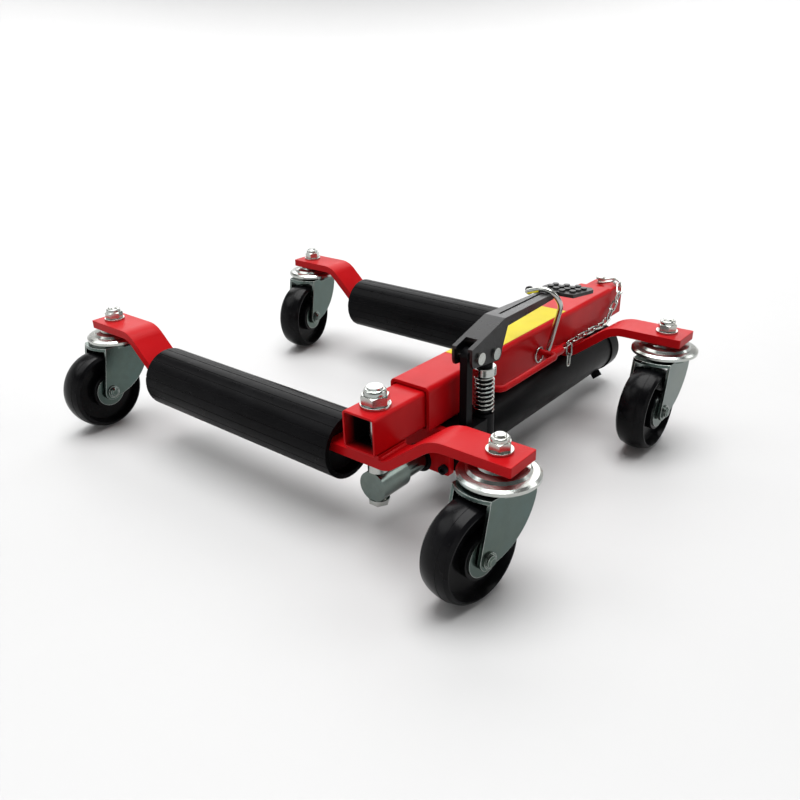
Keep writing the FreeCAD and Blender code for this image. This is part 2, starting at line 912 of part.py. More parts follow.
def plunger():
    stalk = upright(plunger_radius, seat_z - plunger_in_bore, collar_top_z + tongue_half / 2)
    half = tongue_width / 2
    tongue = slot_prism((plunger_y, collar_top_z + tongue_half), (plunger_y, link_z), tongue_half,
                        pump_x - half, pump_x + half)
    body = joined([stalk, tongue])
    return body.cut(across_pump(pin_radius + seat_gap, plunger_y, link_z, lever_width))


def spring_collar():
    ring = upright(collar_radius, collar_low_z, collar_top_z)
    ring = ring.makeFillet(collar_round, [e for e in ring.Edges if isinstance(e.Curve, Part.Circle)])
    return ring.cut(upright(plunger_radius + seat_gap, collar_low_z - overrun, collar_top_z + overrun))


def tangent_arc(start, direction, end):
    chord = end - start
    half = direction.getAngle(chord)
    unit = V(chord).normalize()
    bulge = (direction - unit * direction.dot(unit)).normalize()
    return Part.Arc(start, start + chord / 2 + bulge * (chord.Length / 2 * math.tan(half / 2)), end).toShape()


def biarc(start, first, end, last):
    gap = end - start
    both = first + last
    a = 2 * (1 - first.dot(last))
    b = gap.dot(both)
    reach = (math.sqrt(b * b + a * gap.dot(gap)) - b) / a
    middle = (start + end + (first - last) * reach) / 2
    direction = (end - last * reach - start - first * reach).normalize()
    return [tangent_arc(start, first, middle), tangent_arc(middle, direction, end)]


def spring_points():
    margin = spring_wire / 2 + free_gap
    rise = collar_low_z - seat_z - 2 * margin
    slope = rise / (2 * math.pi * spring_turns)
    points = []
    for step in range(4 * spring_turns + 1):
        angle = math.pi / 2 * step
        place = V(pump_x + spring_radius * math.cos(angle), plunger_y + spring_radius * math.sin(angle),
                  seat_z + margin + slope * angle)
        direction = V(-spring_radius * math.sin(angle), spring_radius * math.cos(angle), slope)
        points.append((place, direction.normalize()))
    return points


def spring_self_gap(path):
    places = [p for edge in path.Edges for p in edge.discretize(6)]
    turn = 4 * 2 * 6
    least = min((a - b).Length for i, a in enumerate(places) for b in places[i + turn // 2:])
    return least - spring_wire


def spring():
    points = spring_points()
    edges = []
    for (start, first), (end, last) in zip(points, points[1:]):
        edges.extend(biarc(start, first, end, last))
    path = Part.Wire(edges)
    print("spring self gap", round(spring_self_gap(path), 2))
    circle = Part.Circle(points[0][0], points[0][1], spring_wire / 2)
    return path.makePipeShell([Part.Wire([circle.toShape()])], True, False)


def release_valve():
    face = V(block_right, valve_y, ram_z + valve_up)
    knob_start = face + V(free_gap, 0, 0)
    knob_end = knob_start + V(valve_knob, 0, 0)
    knob = rod(valve_knob_radius, knob_start, knob_end)
    spindle = rod(valve_radius, face - V(valve_depth, 0, 0), knob_end)
    middle = (knob_start + knob_end) / 2
    bar = rod(valve_bar_radius, middle - V(0, 0, valve_bar_half), middle + V(0, 0, valve_bar_half))
    return joined([knob, spindle, bar])


# Pedal lever


def lever_cheek():
    return [(lever_nose_y, lever_nose_z), (lever_bend_y, lever_top_z), (lever_end, lever_top_z),
            (lever_end, lever_end_z), (hollow_end, lever_low_z), (plunger_y + lug_radius, link_z),
            (lever_nose_y, fulcrum_z)]


def lever_roof():
    return [(lever_nose_y, lever_nose_z), (lever_bend_y, lever_top_z), (lever_end, lever_top_z),
            (lever_end, lever_end_z), (hollow_end, lever_low_z), (hollow_end, lever_top_z - lever_wall),
            (lever_bend_y, lever_top_z - lever_wall), (lever_nose_y, lever_nose_z - lever_wall)]


def pad_prism(low, high):
    points = [V(pad_left + pad_width * a, pad_near + pad_depth * b, low) for a, b in pad_outline_shares]
    return prism(points, V(0, 0, high - low))


def lever_taper(edge, outward, end):
    points = [V(edge, lever_bend_y, lever_low_z), V(end, lever_end, lever_low_z),
              V(end, lever_end + overrun, lever_low_z), V(outward, lever_end + overrun, lever_low_z),
              V(outward, lever_bend_y, lever_low_z)]
    return prism(points, V(0, 0, lever_depth + overrun))


def lug_underside():
    along = V(0, link_reach, -link_drop).normalize()
    down = V(0, along.z, -along.y)
    past = along * (lug_radius + overrun)
    near = V(0, fulcrum_y, fulcrum_z) + down * lug_below - past
    far = V(0, plunger_y, link_z) + down * lug_below + past
    corners = [near, far, far + down * lug_radius, near + down * lug_radius]
    return side_prism([(c.y, c.z) for c in corners], lever_left - overrun, lever_right + overrun)


def lever_bar():
    shapes = [side_prism(lever_roof(), lever_left, lever_right)]
    for x in (lever_left, lever_right - lever_wall):
        shapes.append(side_prism(lever_cheek(), x, x + lever_wall))
        shapes.append(slot_prism((fulcrum_y, fulcrum_z), (plunger_y, link_z), lug_radius, x, x + lever_wall))
    body = joined(shapes).cut(lug_underside())
    body = body.cut(lever_taper(lever_left, lever_left - overrun, lever_left + lever_left_in))
    return body.cut(lever_taper(lever_right, lever_right + overrun, lever_right - lever_right_in))


def lever():
    body = joined([lever_bar(), hook_lug()])
    body = body.cut(hook_seat())
    half = notch_width / 2
    body = body.cut(box(pump_x - half, pump_x + half, lever_nose_y - overrun, fulcrum_y + notch_reach,
                        fulcrum_z, lever_top_z))
    half = lever_groove_width / 2
    start = lever_bend_y + lever_groove_past_bend
    end = lever_end - lever_groove_before_end
    body = body.cut(box(pump_x - half, pump_x + half, start, end, lever_top_z - lever_groove,
                        lever_top_z + overrun))
    body = body.cut(across_pump(pin_radius + running_gap, fulcrum_y, fulcrum_z, 2 * lever_width))
    along = V(0, link_reach, -link_drop).normalize()
    inner = V(0, plunger_y, link_z) - along * link_slot_in
    outer = V(0, plunger_y, link_z) + along * link_slot_out
    slot = slot_prism((inner.y, inner.z), (outer.y, outer.z), pin_radius + free_gap,
                      lever_left - overrun, lever_right + overrun)
    return body.cut(slot).cut(pad_prism(pad_z, lever_top_z + overrun))


def pedal_pad():
    shapes = [pad_prism(pad_z, lever_top_z)]
    for a, b in stud_shares:
        foot = V(pad_left + pad_width * a, pad_near + pad_depth * b, lever_top_z)
        shapes.append(rod(stud_radius, foot, foot + V(0, 0, stud_height)))
    return joined(shapes)


# Keeper hook


def hook_place(x, along):
    lean = math.radians(hook_lean)
    return V(x, hook_foot_y - along * math.sin(lean), hook_foot_z + along * math.cos(lean))


def hook_points():
    return [hook_place(hook_foot_x, hook_start), hook_place(hook_bend_x, hook_bend),
            hook_place(hook_tip_x, hook_tip)]


def hook_seat():
    return bent_rod(hook_points(), [hook_bend_radius], hook_radius + hook_seat_gap)


def hook():
    points = hook_points()
    points.append(points[-1] + V(0, hook_pin, 0))
    return bent_rod(points, [hook_bend_radius, hook_tip_radius], hook_radius)


def hook_lug():
    tip = hook_place(hook_tip_x, hook_tip) + V(0, hook_lug_start, 0)
    end = tip + V(0, hook_lug_thick, 0)
    half = hook_lug_arm / 2
    arm = box(tip.x, pump_x, tip.y, end.y, tip.z - half, tip.z + half)
    eye = joined([rod(hook_lug_round, tip, end), arm])
    return eye.cut(rod(hook_radius + running_gap, tip - V(0, overrun, 0), end + V(0, overrun, 0)))


def hook_boss():
    body = rod(boss_radius, V(boss_x, boss_start, boss_z), V(boss_x, boss_end, boss_z))
    web = box(rail_half, boss_x, boss_start, boss_end, boss_z - boss_web / 2, boss_z + boss_web / 2)
    half = eye_plate_height / 2
    plate = box(boss_x - eye_plate_thick / 2, boss_x + eye_plate_thick / 2, boss_end - eye_plate_thick,
                boss_end + eye_plate_length, boss_z - half, boss_z + half)
    hole = eye_plate_centre()
    eye = rod(eye_plate_hole, hole - V(boss_radius, 0, 0), hole + V(boss_radius, 0, 0))
    return joined([body, web, plate]).cut(eye)


def eye_plate_centre():
    return V(boss_x, boss_end + eye_plate_length - eye_plate_height / 2, boss_z)


# Carry handle


def handle():
    points = [V(rail_half, handle_start, handle_z), V(handle_x, handle_start, handle_z),
              V(handle_x, handle_end, handle_z), V(rail_half, handle_end, handle_z)]
    return bent_rod(points, [handle_bend, handle_bend], handle_radius)


# Lock pin and chain


def lock_pin():
    low = V(pin_x, pin_y, rail_z - stub_half - pin_below)
    neck = V(pin_x, pin_y, stub_top_z + pin_neck)
    top = neck + V(0, 0, pin_button)
    button = rod(pin_button_radius, neck, top)
    rims = [e for e in button.Edges if isinstance(e.Curve, Part.Circle)]
    shank = rod(pin_shank_radius, low, neck + V(0, 0, pin_button_round))
    return joined([shank, button.makeFillet(pin_button_round, rims)]).cut(pin_ring(ring_hole_gap))


def pin_ring_direction():
    tilt = math.radians(ring_tilt)
    return V(math.cos(tilt), 0, math.sin(tilt))


def pin_ring(extra):
    across = pin_ring_direction()
    centre = V(pin_x, pin_y, ring_z) + across * ring_radius
    return Part.makeTorus(ring_radius, ring_wire_radius + extra, centre, across.cross(V(0, 1, 0)))


def spare_ring():
    drop = spare_ring_radius - spare_ring_wire_radius - handle_radius - free_gap
    centre = V(rail_half + spare_ring_from_rail, handle_end, handle_z - drop)
    return Part.makeTorus(spare_ring_radius, spare_ring_wire_radius, centre, V(1, 0, 0))


def chain_route():
    x = rail_half + chain_side_gap
    start = V(pin_x, pin_y, ring_z) + pin_ring_direction() * (2 * ring_radius - ring_wire_radius)
    arm_far = arm_pitch + arm_width / 2
    arm_near = arm_pitch - arm_width / 2
    points = [start, V(x, stub_end - chain_turn_in, stub_top_z + chain_turn_rise),
              V(x, arm_far + chain_low_out, rail_z - chain_low_drop),
              V(x, arm_far + chain_arm_gap, rail_z - chain_arm_drop),
              V(x, arm_near - chain_eye_in, rail_z - chain_arm_drop), eye_plate_centre()]
    return bent_path(points, [chain_turn_bend, chain_low_bend, chain_bend, chain_bend])


def chain_link(pitch):
    half = (pitch + link_slack) / 2 + link_wire_radius
    side = link_width / 2 - link_wire_radius
    turn = half - side
    edges = [Part.LineSegment(V(-turn, side, 0), V(turn, side, 0)).toShape(),
             Part.Arc(V(turn, side, 0), V(half, 0, 0), V(turn, -side, 0)).toShape(),
             Part.LineSegment(V(turn, -side, 0), V(-turn, -side, 0)).toShape(),
             Part.Arc(V(-turn, -side, 0), V(-half, 0, 0), V(-turn, side, 0)).toShape()]
    circle = Part.Circle(V(-turn, side, 0), V(1, 0, 0), link_wire_radius)
    return Part.Wire(edges).makePipe(Part.Face(Part.Wire([circle.toShape()])))


def placed_link(shape, centre, along, across):
    link = shape.copy()
    link.Placement = FreeCAD.Placement(centre, FreeCAD.Rotation(along, across, along.cross(across), "XYZ"))
    return link


def chain_tail(shape, pitch, centre):
    side = link_width / 2 - link_wire_radius
    drop = side + (pitch + link_slack) / 2 - link_wire_radius - free_gap
    links = []
    for step in range(tail_links):
        across = V(0, 1, 0) if step % 2 else V(1, 0, 0)
        links.append(placed_link(shape, centre - V(0, 0, drop + step * pitch), V(0, 0, -1), across))
    return links


def chain():
    route = chain_route()
    count = 2 * round(route.Length / link_pitch / 2)
    pitch = route.Length / count
    places = route.discretize(count + 1)
    shape = chain_link(pitch)
    links = []
    for step in range(count):
        along = (places[step + 1] - places[step]).normalize()
        level = along.cross(V(0, 0, 1)).normalize()
        across = level if step % 2 else along.cross(level)
        links.append(placed_link(shape, (places[step] + places[step + 1]) / 2, along, across))
    hung = links[-2].Placement.Base - V(0, tail_shift, 0)
    return group([pin_ring(0), spare_ring()] + links + chain_tail(shape, pitch, hung))


# Export


def export(name, shape):
    placed = shape.copy()
    placed.translate(V(swivel_span / 2 - rail_to_swivel, -origin_from_near_arm, 0))
    placed.exportStep("parts/" + name + ".step")


pieces = {
    "outer_rail": outer_rail, "inner_rail": inner_rail, "end_stub": end_stub, "label": label,
    "near_arm": near_arm, "far_arm": far_arm, "arm_bolt": arm_bolt, "arm_spacer": arm_spacer,
    "arm_washer": arm_washer, "arm_nut": arm_nut, "barrel": barrel, "barrel_cap": barrel_cap,
    "gland": gland, "front_plate": front_plate, "plate_screws": plate_screws, "drain_plug": drain_plug,
    "piston_rod": piston_rod, "pump_block": pump_block, "fulcrum_pin": fulcrum_pin, "link_pin": link_pin,
    "plunger": plunger, "spring_collar": spring_collar, "spring": spring, "release_valve": release_valve,
    "lever": lever, "pedal_pad": pedal_pad, "hook": hook, "hook_boss": hook_boss, "handle": handle,
    "lock_pin": lock_pin, "chain": chain,
}

os.makedirs("parts", exist_ok=True)
for name, make in pieces.items():
    export(name, make())

turns = {("near", left_swivel_x): ("left", turn_near_left),
         ("near", right_swivel_x): ("right", turn_near_right),
         ("far", left_swivel_x): ("left", turn_far_left),
         ("far", right_swivel_x): ("right", turn_far_right)}
for end, y in (("near", 0), ("far", arm_pitch)):
    export(end + "_roller", roller(y))
    export(end + "_roller_bushes", roller_bushes(y))
    stems = (left_swivel_x, right_swivel_x)
    export(end + "_stems", group([stem(x, y) for x in stems]))
    export(end + "_races", group([race(x, y) for x in stems]))
    export(end + "_washers", group([stem_washer_disc(x, y) for x in stems]))
    export(end + "_nuts", group([stem_nut_body(x, y) for x in stems]))
    for x in stems:
        side, turn = turns[(end, x)]
        export(end + "_" + side + "_fork", fork(x, y, turn))
        export(end + "_" + side + "_axle", axle(x, y, turn))
        export(end + "_" + side + "_wheel", wheel(x, y, turn))
        export(end + "_" + side + "_bushes", wheel_bushes(x, y, turn))
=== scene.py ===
import json
import math
import random

import bmesh
import bpy
from mathutils import Matrix, Vector


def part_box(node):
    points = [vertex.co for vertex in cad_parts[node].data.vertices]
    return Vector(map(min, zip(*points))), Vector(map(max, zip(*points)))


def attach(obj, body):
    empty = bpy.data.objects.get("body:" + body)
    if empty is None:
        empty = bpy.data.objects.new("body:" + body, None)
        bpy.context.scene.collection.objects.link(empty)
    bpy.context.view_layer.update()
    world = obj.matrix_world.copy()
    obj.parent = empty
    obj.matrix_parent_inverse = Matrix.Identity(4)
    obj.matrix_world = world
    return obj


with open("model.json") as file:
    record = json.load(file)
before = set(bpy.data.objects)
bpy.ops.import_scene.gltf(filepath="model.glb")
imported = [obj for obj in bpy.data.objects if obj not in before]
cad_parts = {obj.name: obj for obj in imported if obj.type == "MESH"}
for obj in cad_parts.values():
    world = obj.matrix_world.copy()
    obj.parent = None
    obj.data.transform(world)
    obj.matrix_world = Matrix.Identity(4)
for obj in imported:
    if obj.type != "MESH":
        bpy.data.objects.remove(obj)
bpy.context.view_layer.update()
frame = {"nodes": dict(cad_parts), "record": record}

nodes = frame["nodes"]
MM = 0.001
# How far from sharp edges the painted highlight on the forks' zinc reaches, in mm
EDGE_HIGHLIGHT_WIDTH = 1.1

# The CAD counts places from where the rail's axis crosses the near arm; this is that point in the row frame.
ORIGIN = Vector((153.75, -206.86, 0))


def place(x, y, z):
    return (Vector((x, y, z)) + ORIGIN) * MM


# Materials


class Nodes:
    """Builds one principled material from a few noise layers in object coordinates."""

    def __init__(self, name):
        self.material = bpy.data.materials.new(name)
        self.material.use_nodes = True
        self.tree = self.material.node_tree
        self.shader = self.tree.nodes["Principled BSDF"]
        self.where = self.tree.nodes.new("ShaderNodeTexCoord").outputs["Object"]

    def node(self, kind, **values):
        made = self.tree.nodes.new(kind)
        for key, value in values.items():
            if hasattr(made, key):
                setattr(made, key, value)
            else:
                made.inputs[key].default_value = value
        return made

    def link(self, source, target):
        self.tree.links.new(source, target)

    def stretched(self, scale):
        mapping = self.node("ShaderNodeMapping")
        mapping.inputs["Scale"].default_value = scale
        self.link(self.where, mapping.inputs["Vector"])
        return mapping.outputs["Vector"]

    def noise(self, scale, detail=4.0, roughness=0.55, stretch=(1, 1, 1)):
        made = self.node("ShaderNodeTexNoise")
        made.inputs["Scale"].default_value = scale
        made.inputs["Detail"].default_value = detail
        made.inputs["Roughness"].default_value = roughness
        self.link(self.stretched(stretch), made.inputs["Vector"])
        return made.outputs["Fac"]

    def ramp(self, fac, stops):
        made = self.node("ShaderNodeValToRGB")
        ramp = made.color_ramp
        while len(ramp.elements) < len(stops):
            ramp.elements.new(0.5)
        for element, (position, colour) in zip(ramp.elements, stops):
            element.position = position
            element.color = colour if len(colour) == 4 else (*colour, 1)
        self.link(fac, made.inputs["Fac"])
        return made.outputs["Color"]

    def span(self, fac, low, high):
        made = self.node("ShaderNodeMapRange")
        made.inputs["To Min"].default_value = low
        made.inputs["To Max"].default_value = high
        self.link(fac, made.inputs["Value"])
        return made.outputs["Result"]

    def mix(self, fac, a, b):
        made = self.node("ShaderNodeMix", data_type="RGBA")
        self.link(fac, made.inputs["Factor"])
        self.link(a, made.inputs[6])
        made.inputs[7].default_value = (*b, 1)
        return made.outputs[2]

    def bump(self, heights, distance):
        normal = None
        for height, strength in heights:
            made = self.node("ShaderNodeBump")
            made.inputs["Strength"].default_value = strength
            made.inputs["Distance"].default_value = distance
            self.link(height, made.inputs["Height"])
            if normal is not None:
                self.link(normal, made.inputs["Normal"])
            normal = made.outputs["Normal"]
        self.link(normal, self.shader.inputs["Normal"])

    def set(self, **values):
        for key, value in values.items():
            self.shader.inputs[key.replace("_", " ")].default_value = value

    def bore(self, middle, half, mouth, depth):
        """One inside a square bore along Y, fading in from its mouth, and zero on the outside."""
        axes = self.node("ShaderNodeSeparateXYZ")
        self.link(self.where, axes.inputs["Vector"])
        fade = self.node("ShaderNodeMapRange")
        fade.inputs["From Min"].default_value = mouth
        fade.inputs["From Max"].default_value = mouth + depth
        self.link(axes.outputs["Y"], fade.inputs["Value"])
        inside = fade.outputs["Result"]
        for axis, value in zip("XZ", middle):
            within = self.node("ShaderNodeMath", operation="COMPARE")
            self.link(axes.outputs[axis], within.inputs[0])
            within.inputs[1].default_value = value
            within.inputs[2].default_value = half
            both = self.node("ShaderNodeMath", operation="MULTIPLY")
            self.link(inside, both.inputs[0])
            self.link(within.outputs[0], both.inputs[1])
            inside = both.outputs[0]
        return inside

    def edges(self, radius):
        """One along sharp edges, where a bright highlight is painted into the colour, and zero on the faces.
        """
        rounded = self.node("ShaderNodeBevel", samples=4)
        rounded.inputs["Radius"].default_value = radius
        bent = self.node("ShaderNodeVectorMath", operation="DOT_PRODUCT")
        self.link(rounded.outputs["Normal"], bent.inputs[0])
        self.link(self.node("ShaderNodeNewGeometry").outputs["Normal"], bent.inputs[1])
        return self.ramp(bent.outputs["Value"], [(0.9, (1, 1, 1)), (0.985, (0, 0, 0))])

    def colour(self, source):
        self.link(source, self.shader.inputs["Base Color"])

    def roughness(self, source):
        self.link(source, self.shader.inputs["Roughness"])


def tones(base, *factors):
    return [tuple(min(1.0, c * f) for c in base) for f in factors]


def paint(name, base, rough, coat, wear, bore=None):
    m = Nodes(name)
    broad = m.noise(14, 3)
    dark, mid, light = tones(base, 0.86, 1.0, 1.08)
    skin = m.ramp(broad, [(0.3, dark), (0.5, mid), (0.72, light)])
    # Painted shade: inside the given bore the colour fades to near black
    if bore:
        skin = m.mix(m.bore(*bore), skin, (0.006, 0.004, 0.004))
    m.colour(skin)
    m.roughness(m.span(m.noise(60, 5), rough - 0.06, rough + 0.1))
    m.bump([(m.noise(900, 2), 0.08), (m.noise(140, 2), wear)], 0.0006)
    m.set(Coat_Weight=coat, Coat_Roughness=0.08, Specular_IOR_Level=0.07)
    return m.material


def zinc(name, base, rough, mottle, stretch=(1, 1, 1), edge_highlight=None):
    m = Nodes(name)
    cool = tuple(c * f for c, f in zip(base, (0.93, 1.0, 1.04)))
    warm = tuple(min(1, c * f) for c, f in zip(base, (1.05, 1.02, 0.95)))
    dull = tuple(c * (1 - mottle) for c in base)
    tint = m.ramp(m.noise(22, 4), [(0.32, cool), (0.52, base), (0.7, warm)])
    spots = m.ramp(m.noise(110, 6, 0.65), [(0.38, (1, 1, 1)), (0.55, (0, 0, 0))])
    plate = m.mix(spots, tint, dull)
    # Painted highlight: the base colour is brightened along sharp edges
    if edge_highlight:
        plate = m.mix(m.edges(EDGE_HIGHLIGHT_WIDTH * MM), plate, edge_highlight)
    m.colour(plate)
    m.roughness(m.span(m.noise(75, 6, 0.6, stretch), rough - 0.05, rough + 0.09))
    m.bump([(m.noise(700, 3, 0.6, stretch), 0.06)], 0.0004)
    m.set(Metallic=1.0)
    return m.material


def black(name, base, rough, grain, strength, gloss, stretch=(1, 1, 1)):
    m = Nodes(name)
    dark, mid, light = tones(base, 0.7, 1.0, 1.7)
    m.colour(m.ramp(m.noise(18, 4), [(0.3, dark), (0.5, mid), (0.74, light)]))
    m.roughness(m.span(m.noise(80, 5), rough - 0.08, rough + 0.12))
    m.bump([(m.noise(grain, 3, 0.6, stretch), strength)], 0.0005)
    m.set(Specular_IOR_Level=gloss)
    return m.material


red = ((0.43, 0.0035, 0.006), 0.3, 0.02, 0.04)
along_roller = (0.25, 1, 1)
looks = {
    "red_paint": paint("red_paint_look", *red),
    "black_paint": black("black_paint_look", (0.0035, 0.0035, 0.004), 0.3, 500, 0.14, 0.07),
    "zinc_plate": zinc("zinc_plate_look", (0.5, 0.51, 0.48), 0.2, 0.1),
    "bright_steel": zinc("bright_steel_look", (0.15, 0.18, 0.165), 0.2, 0.1, (1, 0.2, 1)),
    "black_oxide": black("black_oxide_look", (0.004, 0.004, 0.005), 0.36, 600, 0.12, 0.1),
    "roller_skin": black("roller_skin_look", (0.003, 0.003, 0.0035), 0.28, 420, 0.14, 0.05, along_roller),
    "wheel_black": black("wheel_black_look", (0.003, 0.003, 0.0035), 0.22, 260, 0.08, 0.1),
    "nylon": black("nylon_look", (0.008, 0.008, 0.009), 0.5, 500, 0.15, 0.1),
    "pad_rubber": black("pad_rubber_look", (0.007, 0.007, 0.007), 0.4, 700, 0.25, 0.5),
    "yellow_label": paint("yellow_label_look", (0.55, 0.45, 0.008), 0.36, 0.0, 0.02),
}
# Painted shade: the forks, axles and bushes get a much darker copy of the zinc, which stands in for the dark
# surroundings that their faces reflect, with a painted highlight along their edges
shaded_zinc = zinc("grey_zinc_look", (0.092, 0.125, 0.112), 0.22, 0.08, edge_highlight=(0.62, 0.64, 0.62))
gloss_black = black("gloss_black_look", (0.004, 0.004, 0.0045), 0.28, 420, 0.12, 0.38)
own_looks = {"lever": gloss_black}
forks = []
for end in ("near", "far"):
    for side in ("left", "right"):
        forks.append(f"{end}_{side}_fork")
        own_looks.update({f"{end}_{side}_{kind}": shaded_zinc for kind in ("fork", "axle", "bushes")})
slot_of = {entry["node"]: entry["material_slot"] for entry in frame["record"]["subparts"]}
for name, obj in nodes.items():
    obj.data.materials.clear()
    obj.data.materials.append(own_looks.get(name, looks[slot_of[name]]))

# Painted shade: the inner rail's bore is painted near black, fading in from a little inside its mouth, where
# shade falls
rail_points = [v.co for v in nodes["inner_rail"].data.vertices]
rail_low, rail_high = ([pick(p[axis] for p in rail_points) for axis in range(3)] for pick in (min, max))
rail_middle = [(rail_low[axis] + rail_high[axis]) / 2 for axis in (0, 2)]
bore_half, shade_fade_depth = 18.4, 14
rail_bore_shade = (rail_middle, bore_half * MM, rail_low[1], shade_fade_depth * MM)
nodes["inner_rail"].data.materials[0] = paint("inner_rail_look", *red, rail_bore_shade)

# Soft edges on the carried-over solids


def soften(obj, width):
    weld = obj.modifiers.new("weld", "WELD")
    weld.merge_threshold = 1e-6
    flat = obj.modifiers.new("flat", "DECIMATE")
    flat.decimate_type = "DISSOLVE"
    flat.angle_limit = math.radians(0.6)
    bevel = obj.modifiers.new("bevel", "BEVEL")
    bevel.width = width
    bevel.segments = 2
    bevel.limit_method = "ANGLE"
    bevel.angle_limit = math.radians(35)
    bevel.harden_normals = True
    normals = obj.modifiers.new("normals", "WEIGHTED_NORMAL")
    normals.keep_sharp = True


edge_widths = {"near_arm": 0.9, "far_arm": 0.9, "lever": 0.8, "pump_block": 0.8, "front_plate": 0.7,
               "near_roller": 0.3, "far_roller": 0.3, "near_nuts": 0.3, "far_nuts": 0.3, "arm_nut": 0.4,
               "near_washers": 0.3, "far_washers": 0.3, "arm_washer": 0.4, "pedal_pad": 0.5,
               "barrel": 0.6, "barrel_cap": 0.6, "gland": 0.5, "inner_rail": 0.5, "outer_rail": 0.6,
               "end_stub": 0.5, "arm_bolt": 0.5}
edge_widths.update({name: 0.6 for name in forks})
for name, width in edge_widths.items():
    soften(nodes[name], width * MM)

# Weld beads on the frame and mould lines on the wheels


def straight(start, end, step=0.65):
    start, end = Vector(start), Vector(end)
    count = round((end - start).length / step)
    return [start.lerp(end, k / count) for k in range(count + 1)]


def round_loop(centre, radius, first, second, count=48):
    centre, first, second = Vector(centre), Vector(first), Vector(second)
    turns = (2 * math.pi * k / count for k in range(count))
    return [centre + (first * math.cos(a) + second * math.sin(a)) * radius for a in turns]


def square_loop(y, half, z, corner):
    points = []
    for quarter in range(4):
        turn = Matrix.Rotation(math.radians(90) * quarter, 3, "Y")
        side = straight((corner - half, 0, half), (half - corner, 0, half))
        bend = [Vector((half - corner + corner * math.sin(a), 0, half - corner + corner * math.cos(a)))
                for a in (math.radians(15) * k for k in range(1, 6))]
        points += [turn @ p + Vector((0, y, z)) for p in side + bend]
    return points


def tube(points, radii, plane, closed, sides=12):
    """A round tube through points, which lie in the plane that has this normal."""
    bm = bmesh.new()
    rings = []
    last = len(points) - 1
    for k, (point, radius) in enumerate(zip(points, radii)):
        before = points[k - 1] if k or closed else point
        after = points[(k + 1) % len(points)] if k < last or closed else point
        side = (after - before).normalized().cross(plane)
        ring = []
        for a in (2 * math.pi * n / sides for n in range(sides)):
            spot = point + (side * math.cos(a) + plane * math.sin(a)) * radius
            ring.append(bm.verts.new(place(*spot)))
        rings.append(ring)
    pairs = list(zip(rings, rings[1:]))
    if closed:
        pairs.append((rings[-1], rings[0]))
    else:
        bm.faces.new(rings[0])
        bm.faces.new(rings[-1])
    for low, high in pairs:
        for n in range(sides):
            bm.faces.new((low[n], low[(n + 1) % sides], high[(n + 1) % sides], high[n]))
    for face in bm.faces:
        face.smooth = True
    bmesh.ops.recalc_face_normals(bm, faces=bm.faces)
    return bm


def piece(name, bm, body, look):
    mesh = bpy.data.meshes.new(name)
    bm.to_mesh(mesh)
    bm.free()
    obj = bpy.data.objects.new(name, mesh)
    bpy.context.collection.objects.link(obj)
    mesh.materials.append(look)
    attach(obj, body)
    return obj


def bead(name, body, points, radius, plane, closed=False):
    """A weld bead: a tube whose ripples come every few millimetres, a little unevenly."""
    rough = random.Random(name)
    radii = []
    for k in range(len(points)):
        ripple = 1 + 0.13 * math.cos(k * 1.7) + rough.uniform(-0.04, 0.04)
        taper = 1.0 if closed else min(1.0, 0.45 + 0.2 * min(k, len(points) - 1 - k))
        radii.append(radius * ripple * taper)
    piece(name, tube(points, radii, Vector(plane), closed), body, looks["red_paint"])


# Places from the CAD, in mm
arm_top, arm_half, arm_pitch = 92.0, 21.0, 361.9
rail_half, inner_half, rail_z, stub_half, rail_end = 25.0, 20.1, 117.0, 20.9, 458.0
stub_corner = 3.0
handle_ends, handle_z, handle_loop = {"near": 145.5, "far": 266.6}, 113.0, 3.9
boss_edges, boss_start, boss_end = {"low": 98.8, "high": 107.2}, 286, 309
# Bead radii, and how far each bead's middle stands off the faces that it joins
arm_bead, handle_bead, boss_bead, stub_bead = 2.7, 1.3, 1.5, 1.5
bead_off, inner_off, loop_off, stub_off, end_in = 0.4, 0.6, 0.5, 0.3, 1
upward_plane, along_rail, across_rail = (0, 0, 1), (0, 1, 0), (1, 0, 0)


def arm_weld(name, body, x, middle):
    """A bead across an arm, at the foot of the rail's side."""
    reach, z = arm_half - end_in, arm_top + bead_off
    bead(name, body, straight((x, middle - reach, z), (x, middle + reach, z)), arm_bead, upward_plane)


for side, sign in (("left", -1), ("right", 1)):
    arm_weld(f"near_arm_weld_{side}", "slider", sign * (inner_half + inner_off), 0)
    arm_weld(f"far_arm_weld_{side}", "frame", sign * (rail_half + bead_off), arm_pitch)
for end, y in handle_ends.items():
    loop = round_loop((rail_half + loop_off, y, handle_z), handle_loop, along_rail, upward_plane)
    bead(f"handle_weld_{end}", "frame", loop, handle_bead, across_rail, True)
for edge, z in boss_edges.items():
    x = rail_half + bead_off
    line = straight((x, boss_start, z), (x, boss_end, z))
    bead(f"boss_weld_{edge}", "frame", line, boss_bead, upward_plane)
square = square_loop(rail_end + loop_off, stub_half + stub_off, rail_z, stub_corner)
bead("stub_weld", "frame", square, stub_bead, along_rail, True)

# The angle that each caster has turned to, and the mould line beside the middle of its tread
caster_turn = {"near_left": 273, "near_right": 262, "far_left": 283, "far_right": 270}
line_aside, line_radius, line_wire, line_points = 6.0, 49.5, 0.32, 144
for caster, degrees in caster_turn.items():
    low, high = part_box(f"{caster}_wheel")
    axis = Vector((-math.sin(math.radians(degrees)), math.cos(math.radians(degrees)), 0))
    middle = (Vector(low) + Vector(high)) / 2 / MM - ORIGIN
    forward = axis.cross(Vector(upward_plane))
    line = round_loop(middle + axis * line_aside, line_radius, forward, upward_plane, line_points)
    piece(f"{caster}_mould_line", tube(line, [line_wire] * len(line), axis, True), f"{caster}_wheel_body",
          looks["wheel_black"])

# Stage, light and camera


def pale(name, base):
    m = Nodes(name)
    m.colour(m.ramp(m.noise(3, 3), [(0.3, tuple(c * 0.985 for c in base)), (0.7, base)]))
    m.roughness(m.span(m.noise(40, 4), 0.5, 0.62))
    return m.material


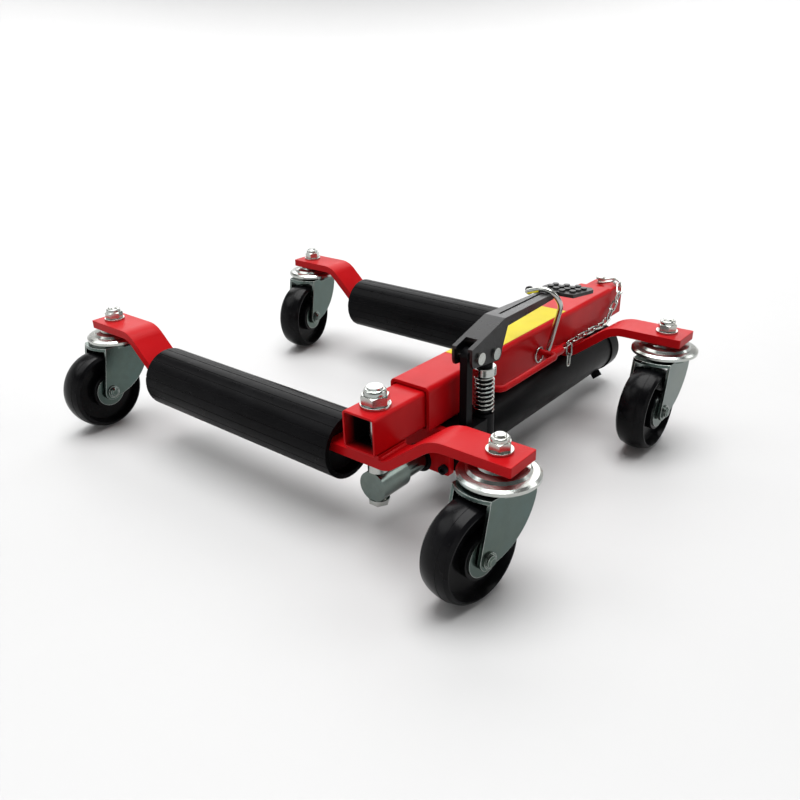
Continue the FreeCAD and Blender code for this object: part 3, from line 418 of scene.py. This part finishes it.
def bowl(flat, curve, steps, spokes):
    """A round floor whose rim curves up to a low wall, so that every view ends on the same pale ground."""
    mesh = bpy.data.meshes.new("floor")
    bm = bmesh.new()
    profile = [(flat * share / 3, 0.0) for share in (1, 2, 3)]
    for step in range(1, steps + 1):
        angle = math.radians(75) * step / steps
        profile.append((flat + curve * math.sin(angle), curve - curve * math.cos(angle)))
    turns = [2 * math.pi * k / spokes for k in range(spokes)]
    rings = []
    for radius, height in profile:
        rings.append([bm.verts.new((radius * math.cos(a), radius * math.sin(a), height)) for a in turns])
    middle = bm.verts.new((0, 0, 0))
    for k in range(spokes):
        after = (k + 1) % spokes
        bm.faces.new((middle, rings[0][k], rings[0][after]))
        for low, high in zip(rings, rings[1:]):
            bm.faces.new((low[k], high[k], high[after], low[after]))
    for face in bm.faces:
        face.smooth = True
    bmesh.ops.recalc_face_normals(bm, faces=bm.faces)
    bm.to_mesh(mesh)
    bm.free()
    obj = bpy.data.objects.new("floor", mesh)
    bpy.context.collection.objects.link(obj)
    return obj


floor = bowl(2.4, 6.0, 16, 96)
floor.data.materials.append(pale("floor_look", (0.52, 0.52, 0.52)))


def sun(name, aim, angle, strength):
    light = bpy.data.lights.new(name, "SUN")
    light.angle = math.radians(angle)
    light.energy = strength
    obj = bpy.data.objects.new(name, light)
    obj.rotation_euler = Vector(aim).to_track_quat("-Z", "Y").to_euler()
    bpy.context.collection.objects.link(obj)


def area(name, where, aim, size, power):
    light = bpy.data.lights.new(name, "AREA")
    light.shape = "RECTANGLE"
    light.size, light.size_y = size
    light.energy = power
    obj = bpy.data.objects.new(name, light)
    obj.location = where
    obj.rotation_euler = (Vector(aim) - Vector(where)).to_track_quat("-Z", "Y").to_euler()
    obj.visible_camera = False
    bpy.context.collection.objects.link(obj)


sun("overhead", (0.1, -0.12, -1), 48, 3.7)
jack_middle = (0, 0, 0.1)
area("rear_light", (-2.5, 2.9, 2.7), jack_middle, (5.0, 2.8), 118)
area("front_light", (-2.2, -1.4, 3.0), jack_middle, (2.4, 2.0), 35)
area("side_light", (2.4, 2.9, 2.7), jack_middle, (1.6, 1.6), 24)
world = bpy.data.worlds.new("studio")
bpy.context.scene.world = world
world.use_nodes = True
sky = world.node_tree.nodes["Background"]
sky.inputs["Color"].default_value = (1, 1, 1, 1)
sky.inputs["Strength"].default_value = 0.08
bpy.context.scene.view_settings.view_transform = "Standard"

# The photograph's camera, fitted to the frame's right angles: angles in radians, lens in pixels, place in mm
yaw, pitch, roll = 0.7016769, -0.4516591, -0.0282142
focus, centre_x, centre_y, frame_px = 775.756, 396.247, 410.287, 800
camera_place = place(450.051, -501.948, 457.997)
look = Vector((-math.sin(yaw) * math.cos(pitch), math.cos(yaw) * math.cos(pitch), math.sin(pitch)))
level = look.cross(Vector((0, 0, 1))).normalized()
upward = level.cross(look)
right = level * math.cos(roll) + upward * math.sin(roll)
up = upward * math.cos(roll) - level * math.sin(roll)
camera_data = bpy.data.cameras.new("camera")
camera_data.sensor_width = 36
camera_data.lens = focus / frame_px * camera_data.sensor_width
camera_data.shift_x = (frame_px / 2 - centre_x) / frame_px
camera_data.shift_y = (centre_y - frame_px / 2) / frame_px
camera = bpy.data.objects.new("camera", camera_data)
turn = Matrix((right, up, -look)).transposed().to_4x4()
camera.matrix_world = Matrix.Translation(camera_place) @ turn
bpy.context.collection.objects.link(camera)
bpy.context.scene.camera = camera
